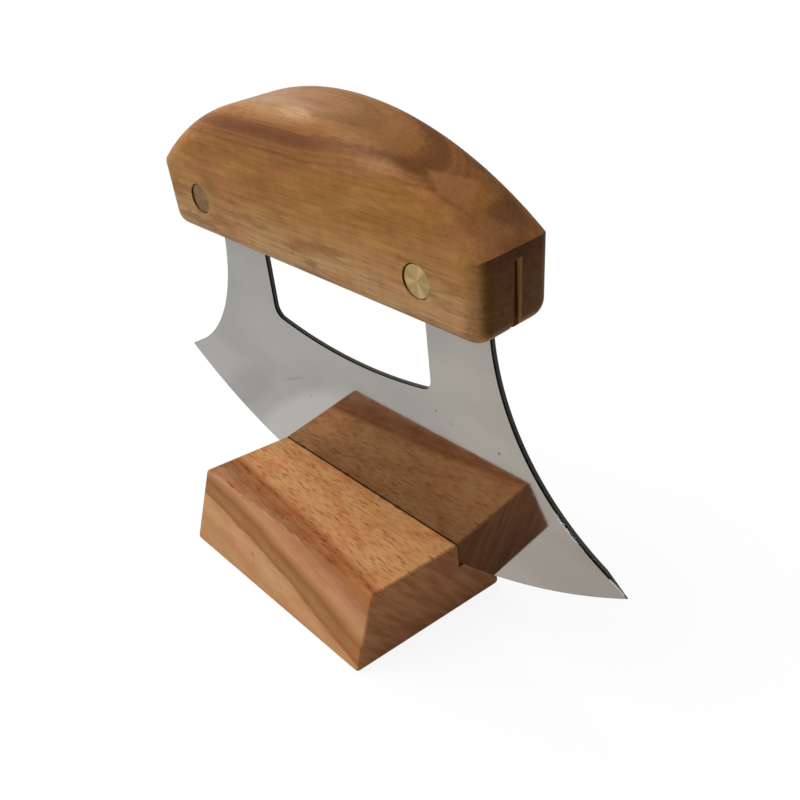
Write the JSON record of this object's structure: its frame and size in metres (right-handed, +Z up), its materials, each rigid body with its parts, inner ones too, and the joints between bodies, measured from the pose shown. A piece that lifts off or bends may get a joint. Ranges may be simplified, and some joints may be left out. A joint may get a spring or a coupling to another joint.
{
  "type": "ulu knife with stand",
  "caption": "Round-edged chopping knife with a domed wooden handle on a polished blade, standing edge down in the slot of a small wooden display block.",
  "frame": {"origin": "centre of the stand's underside", "axes": "+X along the blade and the stand, -Y towards the front, which is the polished face that leans forward, +Z up"},
  "size_m": [0.178, 0.0517, 0.1327],
  "materials": {
    "blade_steel": "polished",
    "handle_wood": "satin",
    "stand_wood": "satin",
    "rivet_brass": "satin"
  },
  "bodies": {
    "stand": {"stand": "stand_wood"},
    "knife": {"blade": "blade_steel", "handle": "handle_wood", "left_rivet_post": "rivet_brass", "left_rivet_tube": "rivet_brass", "right_rivet_post": "rivet_brass", "right_rivet_tube": "rivet_brass"}
  },
  "joints": [
    {"name": "knife_lift", "type": "slide", "parent": "stand", "child": "knife", "axis": [0, -0.1184, 0.993], "range_m": [0, 0.04]}
  ]
}
